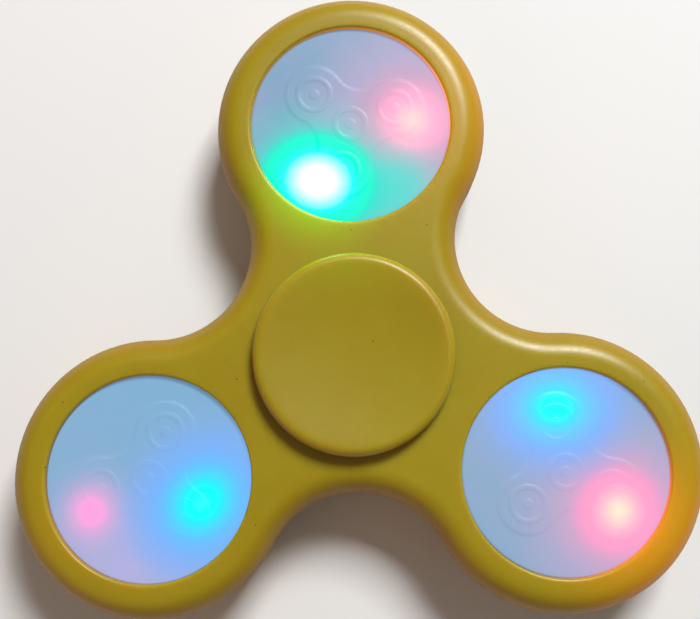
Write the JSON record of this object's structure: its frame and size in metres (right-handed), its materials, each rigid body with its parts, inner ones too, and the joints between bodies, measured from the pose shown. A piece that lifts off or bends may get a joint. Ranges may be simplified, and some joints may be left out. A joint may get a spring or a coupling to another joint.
{
  "type": "fidget spinner",
  "caption": "Flat three-lobed hand spinner that turns on a central ball bearing between two round finger caps, with a press-on light under a milky lens in each lobe.",
  "frame": {"origin": "centre of the ball bearing, on the spin axis, halfway through the body's thickness", "axes": "+Z along the spin axis out of the face with the lenses, +Y from the spin axis towards the top lobe, +X to the right"},
  "size_m": [0.0748, 0.0689, 0.0132],
  "materials": {
    "body_plastic": "moulded mustard yellow plastic with a fine matt grain",
    "cap_plastic": "moulded mustard yellow plastic, satin",
    "lens_plastic": "milky translucent plastic with a satin face",
    "cup_plastic": "milky translucent plastic",
    "bearing_steel": "ground bearing steel",
    "shield_steel": "pressed steel",
    "ball_steel": "polished steel",
    "cage_nylon": "natural nylon",
    "board": "green solder resist over glass fibre",
    "switch_metal": "plated steel cover",
    "switch_plastic": "black nylon",
    "light_red": "white moulding with a clear window",
    "light_green": "white moulding with a clear window",
    "light_blue": "white moulding with a clear window",
    "chip_resin": "black resin",
    "cell_steel": "nickel-plated steel",
    "strip_nickel": "nickel-plated strip"
  },
  "bodies": {
    "hub": {"upper_finger_cap": "cap_plastic", "lower_finger_cap": "cap_plastic", "bearing_inner_ring": "bearing_steel"},
    "spinner": {"spinner_body": "body_plastic", "bearing_outer_ring": "bearing_steel", "bearing_shield_upper": "shield_steel", "bearing_shield_lower": "shield_steel", "pod_cup_top": "cup_plastic", "circuit_board_top": "board", "switch_body_top": "switch_metal", "light_red_top": "light_red", "light_green_top": "light_green", "light_blue_top": "light_blue", "controller_chip_top": "chip_resin", "button_cell_1_top": "cell_steel", "button_cell_2_top": "cell_steel", "button_cell_3_top": "cell_steel", "link_strip_top": "strip_nickel", "return_strip_top": "strip_nickel", "pod_cup_left": "cup_plastic", "circuit_board_left": "board", "switch_body_left": "switch_metal", "light_red_left": "light_red", "light_green_left": "light_green", "light_blue_left": "light_blue", "controller_chip_left": "chip_resin", "button_cell_1_left": "cell_steel", "button_cell_2_left": "cell_steel", "button_cell_3_left": "cell_steel", "link_strip_left": "strip_nickel", "return_strip_left": "strip_nickel", "pod_cup_right": "cup_plastic", "circuit_board_right": "board", "switch_body_right": "switch_metal", "light_red_right": "light_red", "light_green_right": "light_green", "light_blue_right": "light_blue", "controller_chip_right": "chip_resin", "button_cell_1_right": "cell_steel", "button_cell_2_right": "cell_steel", "button_cell_3_right": "cell_steel", "link_strip_right": "strip_nickel", "return_strip_right": "strip_nickel"},
    "cage": {"bearing_cage": "cage_nylon"},
    "ball_1": {"bearing_ball_1": "ball_steel"},
    "ball_2": {"bearing_ball_2": "ball_steel"},
    "ball_3": {"bearing_ball_3": "ball_steel"},
    "ball_4": {"bearing_ball_4": "ball_steel"},
    "ball_5": {"bearing_ball_5": "ball_steel"},
    "ball_6": {"bearing_ball_6": "ball_steel"},
    "ball_7": {"bearing_ball_7": "ball_steel"},
    "top_lens": {"lens_top": "lens_plastic"},
    "top_plunger": {"switch_plunger_top": "switch_plastic"},
    "left_lens": {"lens_left": "lens_plastic"},
    "left_plunger": {"switch_plunger_left": "switch_plastic"},
    "right_lens": {"lens_right": "lens_plastic"},
    "right_plunger": {"switch_plunger_right": "switch_plastic"}
  },
  "joints": [
    {"name": "body_spin", "type": "hinge", "parent": "hub", "child": "spinner", "pos_m": [0, 0, 0], "axis": [0, 0, 1], "continuous": true},
    {"name": "cage_spin", "type": "hinge", "parent": "hub", "child": "cage", "pos_m": [0, 0, 0], "axis": [0, 0, 1], "continuous": true},
    {"name": "ball_1_roll", "type": "hinge", "parent": "cage", "child": "ball_1", "pos_m": [0, 0.0075, 0], "axis": [0, 0, 1], "continuous": true},
    {"name": "ball_2_roll", "type": "hinge", "parent": "cage", "child": "ball_2", "pos_m": [-0.00586, 0.00468, 0], "axis": [0, 0, 1], "continuous": true},
    {"name": "ball_3_roll", "type": "hinge", "parent": "cage", "child": "ball_3", "pos_m": [-0.00731, -0.00167, 0], "axis": [0, 0, 1], "continuous": true},
    {"name": "ball_4_roll", "type": "hinge", "parent": "cage", "child": "ball_4", "pos_m": [-0.00325, -0.00676, 0], "axis": [0, 0, 1], "continuous": true},
    {"name": "ball_5_roll", "type": "hinge", "parent": "cage", "child": "ball_5", "pos_m": [0.00325, -0.00676, 0], "axis": [0, 0, 1], "continuous": true},
    {"name": "ball_6_roll", "type": "hinge", "parent": "cage", "child": "ball_6", "pos_m": [0.00731, -0.00167, 0], "axis": [0, 0, 1], "continuous": true},
    {"name": "ball_7_roll", "type": "hinge", "parent": "cage", "child": "ball_7", "pos_m": [0.00586, 0.00468, 0], "axis": [0, 0, 1], "continuous": true},
    {"name": "top_lens_press", "type": "slide", "parent": "spinner", "child": "top_lens", "axis": [0, 0, -1], "range_m": [0, 0.0003], "stiffness_N_per_m": 4000},
    {"name": "top_switch_click", "type": "slide", "parent": "spinner", "child": "top_plunger", "axis": [0, 0, -1], "range_m": [0, 0.0003]},
    {"name": "left_lens_press", "type": "slide", "parent": "spinner", "child": "left_lens", "axis": [0, 0, -1], "range_m": [0, 0.0003], "stiffness_N_per_m": 4000},
    {"name": "left_switch_click", "type": "slide", "parent": "spinner", "child": "left_plunger", "axis": [0, 0, -1], "range_m": [0, 0.0003]},
    {"name": "right_lens_press", "type": "slide", "parent": "spinner", "child": "right_lens", "axis": [0, 0, -1], "range_m": [0, 0.0003], "stiffness_N_per_m": 4000},
    {"name": "right_switch_click", "type": "slide", "parent": "spinner", "child": "right_plunger", "axis": [0, 0, -1], "range_m": [0, 0.0003]}
  ],
  "couplings": [
    {"joint": "cage_spin", "follows": "body_spin", "ratio": 0.63227},
    {"joint": "ball_1_roll", "follows": "body_spin", "ratio": 1.7578},
    {"joint": "ball_2_roll", "follows": "body_spin", "ratio": 1.7578},
    {"joint": "ball_3_roll", "follows": "body_spin", "ratio": 1.7578},
    {"joint": "ball_4_roll", "follows": "body_spin", "ratio": 1.7578},
    {"joint": "ball_5_roll", "follows": "body_spin", "ratio": 1.7578},
    {"joint": "ball_6_roll", "follows": "body_spin", "ratio": 1.7578},
    {"joint": "ball_7_roll", "follows": "body_spin", "ratio": 1.7578},
    {"joint": "top_switch_click", "follows": "top_lens_press", "ratio": 1},
    {"joint": "left_switch_click", "follows": "left_lens_press", "ratio": 1},
    {"joint": "right_switch_click", "follows": "right_lens_press", "ratio": 1}
  ]
}
